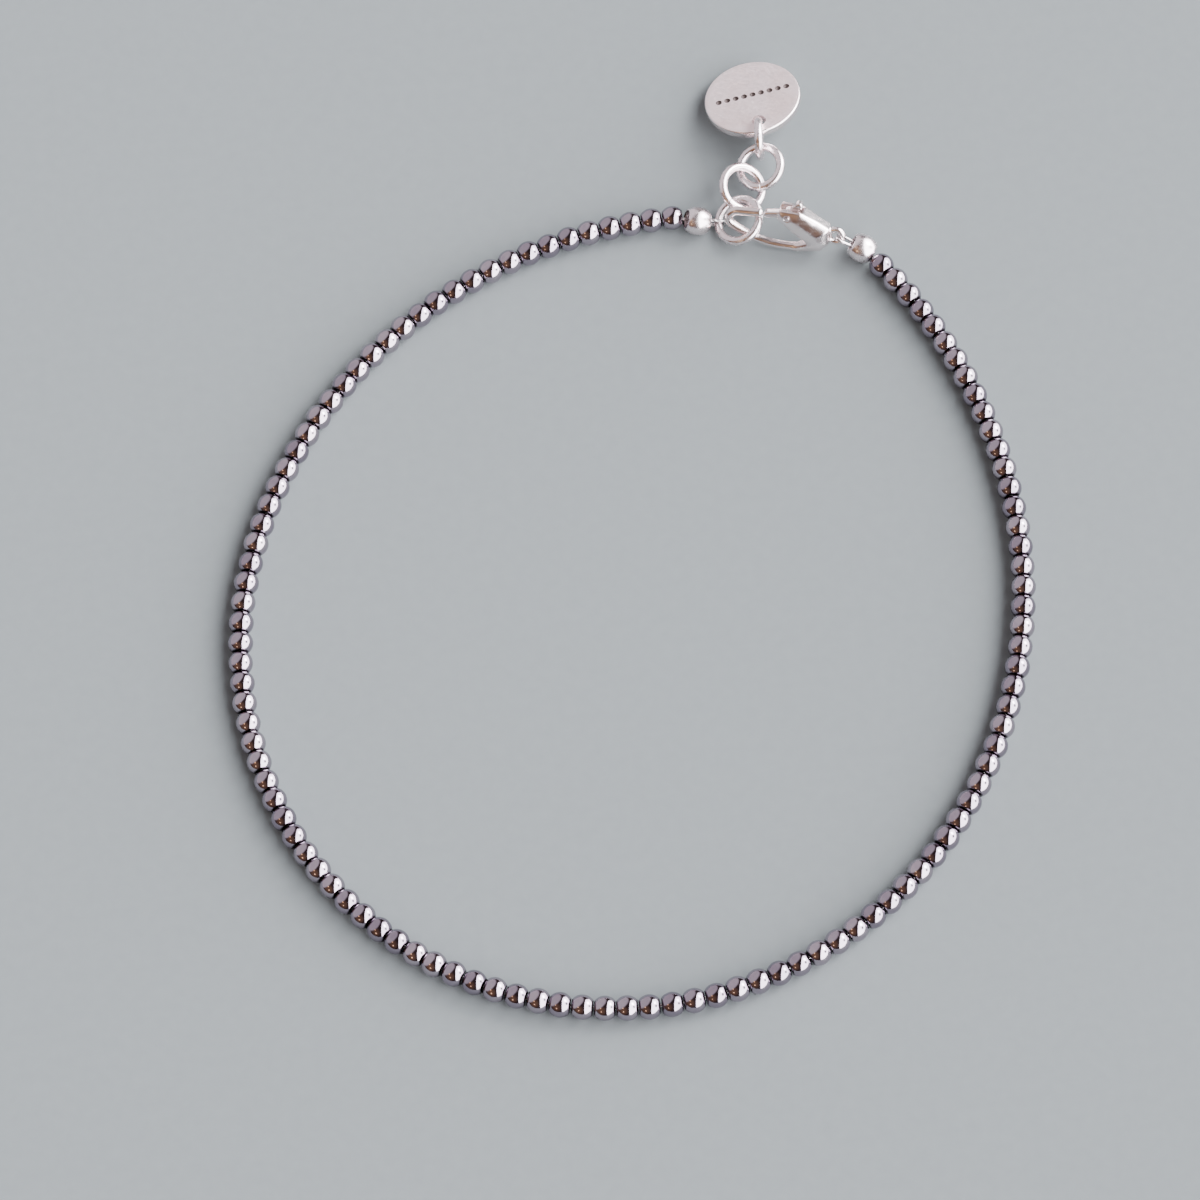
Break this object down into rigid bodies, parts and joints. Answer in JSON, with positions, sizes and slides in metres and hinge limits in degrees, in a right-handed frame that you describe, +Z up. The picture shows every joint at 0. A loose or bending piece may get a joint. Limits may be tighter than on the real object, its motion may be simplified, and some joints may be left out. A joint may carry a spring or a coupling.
{
  "type": "beaded anklet",
  "caption": "Beaded anklet laid as a closed loop: small polished metallic beads on wire, silver lobster clasp, and a round tag on a tail of rings.",
  "frame": {"origin": "on the surface the anklet lies on, under the centre of its bounding box", "axes": "+Z up from the surface, +Y to the end with the clasp and tag, +X to the clasp's tail"},
  "size_m": [0.0724, 0.0925, 0.005],
  "materials": {
    "bead": "polished metallic, lilac grey",
    "silver": "polished silver",
    "wire": "drawn wire"
  },
  "bodies": {
    "anklet": {"strand_1": "bead", "strand_2": "bead", "strand_3": "bead", "strand_4": "bead", "strand_5": "bead", "strand_6": "bead", "strand_7": "bead", "strand_8": "bead", "crimp_bead_ring_end": "silver", "crimp_bead_clasp_end": "silver", "end_ring": "silver", "chain_ring": "silver", "tag_ring": "silver", "tag_jump_ring": "silver", "tag_disc": "silver", "clasp_body": "silver", "clasp_pin": "silver", "wire_loop_ring_end": "wire", "wire_loop_clasp_end": "wire"},
    "lever": {"clasp_lever": "silver"}
  },
  "joints": [
    {"name": "clasp_lever_swing", "type": "hinge", "parent": "anklet", "child": "lever", "pos_m": [0.01756, 0.02894, 0.00358], "axis": [-0.2656, -0.8153, 0.5145], "range_deg": [0, 25], "stiffness_Nm_per_rad": 0.003, "springref_deg": -11.46}
  ]
}
